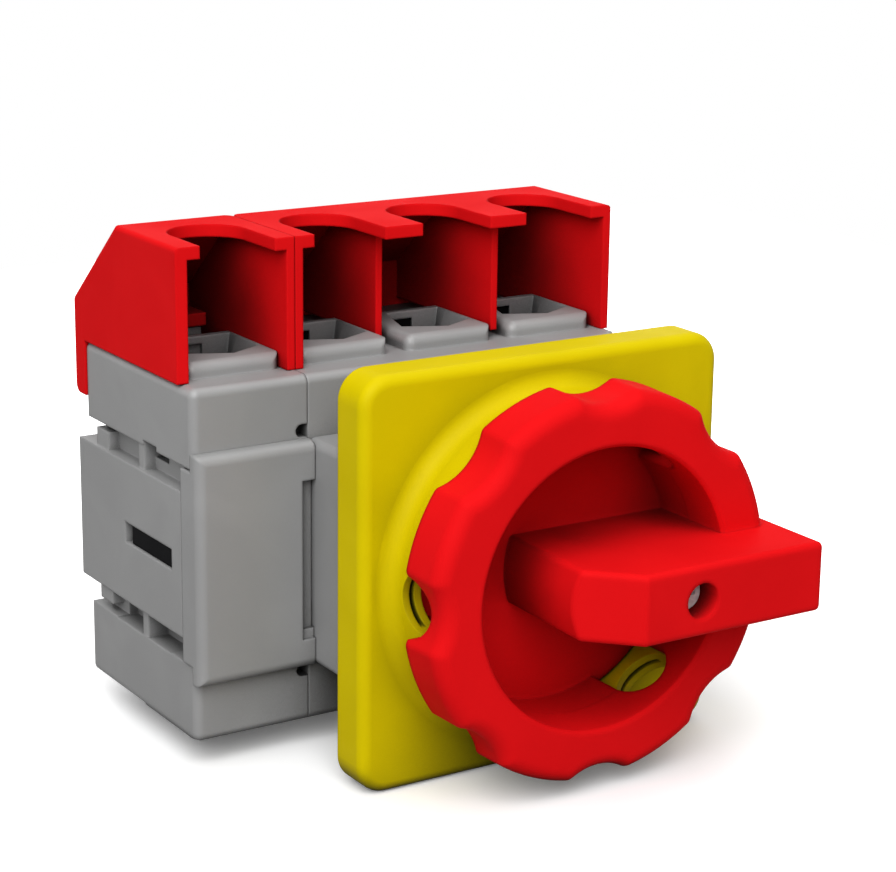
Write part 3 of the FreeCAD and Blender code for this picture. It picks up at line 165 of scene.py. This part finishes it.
def make_finishes():
    """One material for each material slot, and two for the knob and its screw."""
    red = {"colour": "#DA1216", "shade": "#D21014", "painted_shade": "#2E0C0C", "hollow_mm": 22, "roughness": 0.55,
           "grain_mm": 0.35, "relief_mm": 0.010, "specular": 0.015}
    return {
        # Polyamide with glass fibre, injection moulded: a dull mid grey with a fine grain and broad,
        # soft highlights along its rounded edges, with shade painted nearly black deep inside pockets.
        "grey_plastic": moulded_plastic("grey_glass_filled_polyamide", colour="#909090", shade="#888888",
                                        painted_shade="#0A0A0A", hollow_mm=40, open_at=0.34, roughness=0.46,
                                        grain_mm=0.30, relief_mm=0.030, edge_mm=0.55, specular=0.7),
        # Unfilled polyamide, injection moulded in a matt mould: a strong flat red with hardly any
        # highlight and small soft edges, with shade painted dark brown-red into the rooms of the covers.
        "red_plastic": moulded_plastic("red_polyamide", open_at=0.56, edge_mm=0.45, **red),
        # The same polyamide in the thick moulding of the knob: wide soft edges that shade slowly,
        # and shade painted darker into its bowl.
        "knob": moulded_plastic("red_polyamide_soft_edged", open_at=0.42, edge_mm=1.1, **red),
        # Unfilled polyamide, injection moulded in a matt mould: a warm yellow, with olive shade painted into
        # its holes.
        "yellow_plastic": moulded_plastic("yellow_polyamide", colour="#CFBB00", shade="#C7B300",
                                          painted_shade="#24270B", hollow_mm=14, open_at=0.72, roughness=0.50,
                                          grain_mm=0.35, relief_mm=0.010, edge_mm=0.40, specular=0.05),
        # Acetal, injection moulded: matt and nearly black all over, with shade painted still darker in its
        # pockets.
        "black_plastic": moulded_plastic("black_acetal", colour="#0E0E0F", shade="#08080A",
                                         painted_shade="#030303", hollow_mm=20, open_at=0.50, roughness=0.60,
                                         grain_mm=0.30, relief_mm=0.010, edge_mm=0.20, specular=0.05),
        # Rolled steel, bright zinc plated: pale, slightly blue, with a cloudy half-gloss.
        "zinc_steel": plated_metal("zinc_plated_steel", "#C9CDD2", "#9EA3A9", metallic=1.0,
                                   roughness=0.34, streak_mm=0.10),
        # Screw head dipped and spun in zinc flakes: a mottled, chalky silver that hardly mirrors.
        "knob_screw": plated_metal("zinc_flake_coated_steel", WHITE, "#909090", metallic=0.1,
                                   roughness=0.55, streak_mm=0.30),
        # Spring strip and wire, drawn and hardened: cool and bright, with fine lines along it.
        "spring_steel": plated_metal("bright_spring_steel", "#B9BCC2", "#8C9096", metallic=1.0,
                                     roughness=0.28, streak_mm=0.08),
        # Copper strip, drawn: a warm pinkish brown metal with fine drawing lines.
        "silvered_copper": plated_metal("drawn_copper_strip", "#D9935F", "#B9713F", metallic=1.0,
                                        roughness=0.32, streak_mm=0.10),
    }


def dress_nodes(finishes):
    """Give each CAD node its own finish where it has one, and its slot's finish otherwise."""
    for part in frame["record"]["subparts"]:
        mesh = frame["nodes"][part["node"]].data
        mesh.materials.clear()
        mesh.materials.append(finishes.get(part["node"], finishes[part["material_slot"]]))


def make_floor():
    """White paper floor that keeps the contact shadow and brightens to plain white away from the part.

    Paper, calendered: matt white. What it throws back at the part is dimmer than what the camera sees.
    """
    half = 0.35
    gap_mm = 0.02
    shadow_reach, white_reach = 0.05, 0.15
    level = CAD_BOX[0][2] - gap_mm * MM
    mesh = bpy.data.meshes.new("floor")
    corners = [(-half, -half, level), (half, -half, level), (half, half, level), (-half, half, level)]
    mesh.from_pydata(corners, [], [(0, 1, 2, 3)])
    floor = link_object("floor", mesh)
    material, tree = new_material("white_paper")
    place = add(tree, "ShaderNodeTexCoord").outputs["Object"]
    away = add(tree, "ShaderNodeVectorMath", {0: place, 1: (MIDDLE.x, MIDDLE.y, level)}, operation="DISTANCE")
    lift = add(tree, "ShaderNodeMapRange", {"Value": away.outputs["Value"], "From Min": shadow_reach,
                                            "From Max": white_reach, "To Min": 0.10, "To Max": 1.0})
    matt = add(tree, "ShaderNodeBsdfDiffuse", {"Color": linear("#A0A0A0")})
    paper = add(tree, "ShaderNodeBsdfDiffuse", {"Color": linear(WHITE)})
    glow = add(tree, "ShaderNodeEmission", {"Color": linear(WHITE), "Strength": lift.outputs["Result"]})
    both = add(tree, "ShaderNodeAddShader", {0: paper.outputs[0], 1: glow.outputs[0]})
    seen = add(tree, "ShaderNodeLightPath").outputs["Is Camera Ray"]
    mix = add(tree, "ShaderNodeMixShader", {0: seen, 1: matt.outputs[0], 2: both.outputs[0]})
    add(tree, "ShaderNodeOutputMaterial", {"Surface": mix.outputs[0]})
    mesh.materials.append(material)


def add_insert(name, low, high, edge_mm, finish):
    """Small moulded insert with rounded edges between two corners in the plate frame, in millimetres."""
    shape = bmesh.new()
    bmesh.ops.create_cube(shape, size=1.0)
    low_corner, high_corner = Vector(low), Vector(high)
    for vertex in shape.verts:
        share = vertex.co + Vector((0.5, 0.5, 0.5))
        point = Vector(low_corner[i] + (high_corner[i] - low_corner[i]) * share[i] for i in range(3))
        vertex.co = PLATE_FACE + point * MM
    bmesh.ops.bevel(shape, geom=shape.edges[:], offset=edge_mm * MM, segments=3, profile=0.5, affect="EDGES")
    mesh = bpy.data.meshes.new(name)
    shape.to_mesh(mesh)
    shape.free()
    mesh.materials.append(finish)
    piece = link_object(name, mesh)
    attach(piece, "switch_body")


def throat_shade_plate_tree():
    """Row of thin plates at a pitch along X."""
    tree = bpy.data.node_groups.new("throat_shade_plates", "GeometryNodeTree")
    tree.interface.new_socket("Geometry", in_out="OUTPUT", socket_type="NodeSocketGeometry")
    tree.interface.new_socket("Count", in_out="INPUT", socket_type="NodeSocketInt")
    for name in ("Pitch", "Width", "Thickness", "Height"):
        tree.interface.new_socket(name, in_out="INPUT", socket_type="NodeSocketFloat")
    tree.interface.new_socket("Finish", in_out="INPUT", socket_type="NodeSocketMaterial")
    sizes = add(tree, "NodeGroupInput").outputs
    size = add(tree, "ShaderNodeCombineXYZ", {"X": sizes["Width"], "Y": sizes["Thickness"],
                                              "Z": sizes["Height"]})
    plate = add(tree, "GeometryNodeMeshCube", {"Size": size.outputs[0]})
    step = add(tree, "ShaderNodeCombineXYZ", {"X": sizes["Pitch"]})
    row = add(tree, "GeometryNodeMeshLine", {"Count": sizes["Count"], "Offset": step.outputs[0]})
    repeated = add(tree, "GeometryNodeInstanceOnPoints", {"Points": row.outputs[0],
                                                          "Instance": plate.outputs[0]})
    solid = add(tree, "GeometryNodeRealizeInstances", {"Geometry": repeated.outputs[0]})
    painted = add(tree, "GeometryNodeSetMaterial", {"Geometry": solid.outputs[0],
                                                    "Material": sizes["Finish"]})
    add(tree, "NodeGroupOutput", {0: painted.outputs[0]})
    return tree


def add_throat_shade_plates(finish):
    """Black plates at the back of the block's wire throats, at the line side and at the load side: painted
    shade that darkens the throats.
    """
    sizes = {"Count": BLOCK_POLES, "Pitch": POLE_PITCH_MM * MM, "Width": 5.86 * MM, "Thickness": 0.2 * MM,
             "Height": 5.0 * MM, "Finish": finish}
    first_pole_mm, throat_back_mm, throat_middle_mm = -20.05, 46.09, 27.5
    maker = link_object("plate_maker", bpy.data.meshes.new("plate_maker"))
    modifier = maker.modifiers.new("plates", "NODES")
    modifier.node_group = throat_shade_plate_tree()
    for socket in modifier.node_group.interface.items_tree:
        if socket.in_out == "INPUT":
            modifier[socket.identifier] = sizes[socket.name]
    made = maker.evaluated_get(bpy.context.evaluated_depsgraph_get())
    for name, side in (("line_throat_shade_plates", 1), ("load_throat_shade_plates", -1)):
        first_plate = Vector((first_pole_mm, throat_back_mm, side * throat_middle_mm))
        mesh = bpy.data.meshes.new_from_object(made)
        # The row brings an empty material place of its own, ahead of the finish.
        mesh.materials.pop(index=0)
        mesh.transform(Matrix.Translation(PLATE_FACE + first_plate * MM))
        piece = link_object(name, mesh)
        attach(piece, "switch_body")
    bpy.data.objects.remove(maker)


def add_inserts(finishes):
    """Black plate in the coupling slot as painted shade, shoulder under the right cover wall, and the black
    throat plates as painted shade.
    """
    # A thin black plate stands in for the shade deep inside the coupling slot.
    add_insert("slot_shade_plate", low=(-50.35, 30.0, -1.70), high=(-49.95, 45.2, 1.70), edge_mm=0.1,
               finish=finishes["black_plastic"])
    add_insert("line_shoulder", low=(28.5, 24.5, 27.2), high=(30.0, 61.2, 28.98), edge_mm=0.15,
               finish=finishes["grey_plastic"])
    # The throat plates are painted shade at the back of the wire throats.
    add_throat_shade_plates(finishes["black_plastic"])


def make_world():
    """Even studio air for the object, plain white where the camera or a reflection looks past it."""
    world = bpy.data.worlds.new("studio")
    bpy.context.scene.world = world
    world.use_nodes = True
    tree = world.node_tree
    tree.nodes.clear()
    path = add(tree, "ShaderNodeLightPath")
    seen = add(tree, "ShaderNodeMath", {0: path.outputs["Is Camera Ray"], 1: path.outputs["Is Glossy Ray"]},
               operation="MAXIMUM")
    through = add(tree, "ShaderNodeMath", {0: seen.outputs[0], 1: path.outputs["Is Transmission Ray"]},
                  operation="MAXIMUM")
    air = add(tree, "ShaderNodeBackground", {"Color": linear(WHITE), "Strength": 0.26})
    white = add(tree, "ShaderNodeBackground", {"Color": linear(WHITE), "Strength": 1.0})
    mix = add(tree, "ShaderNodeMixShader", {0: through.outputs[0], 1: air.outputs[0], 2: white.outputs[0]})
    add(tree, "ShaderNodeOutputWorld", {"Surface": mix.outputs[0]})


def add_lamp(name, offset, size, power):
    """Square soft box at an offset from the middle of the part, turned towards it."""
    light = bpy.data.lights.new(name, "AREA")
    light.size = size
    light.energy = power
    lamp = link_object(name, light)
    lamp.location = MIDDLE + Vector(offset)
    lamp.rotation_euler = (MIDDLE - lamp.location).to_track_quat("-Z", "Y").to_euler()
    return lamp


def make_lamps():
    """Overhead box, key box from the front left, and a weak box behind that leaves no highlights."""
    add_lamp("top_box", offset=(0.05, -0.10, 0.80), size=0.9, power=3.2)
    add_lamp("key_box", offset=(-0.46, -0.52, 0.58), size=0.8, power=9.6)
    fill = add_lamp("back_box", offset=(0.60, 0.66, 0.30), size=0.9, power=3.6)
    fill.visible_glossy = False


def make_camera():
    """Camera solved from the edges of plate, covers and body in the 896 x 872 photo."""
    azimuth = math.radians(-32.383)
    elevation = math.radians(15.271)
    roll = math.radians(0.723)
    distance = 407.682 * MM
    focal_pixels = 2469.407
    width_pixels = 896
    target = PLATE_FACE + Vector((-1.964, 25.931, 14.542)) * MM
    away = Vector((math.sin(azimuth) * math.cos(elevation), -math.cos(azimuth) * math.cos(elevation),
                   math.sin(elevation)))
    data = bpy.data.cameras.new("photo_camera")
    data.sensor_fit = "HORIZONTAL"
    data.sensor_width = 36.0
    data.lens = data.sensor_width * focal_pixels / width_pixels
    data.clip_start = 0.01
    camera = link_object("photo_camera", data)
    forward = -away
    right = forward.cross(Vector((0, 0, 1))).normalized()
    up = right.cross(forward)
    rolled_right = right * math.cos(roll) + up * math.sin(roll)
    rolled_up = up * math.cos(roll) - right * math.sin(roll)
    turn = Matrix((rolled_right, rolled_up, away)).transposed()
    camera.matrix_world = Matrix.Translation(target + away * distance) @ turn.to_4x4()
    bpy.context.scene.camera = camera


FINISHES = make_finishes()
dress_nodes(FINISHES)
add_inserts(FINISHES)
make_floor()
make_world()
make_lamps()
make_camera()
bpy.context.scene.view_settings.view_transform = "Standard"
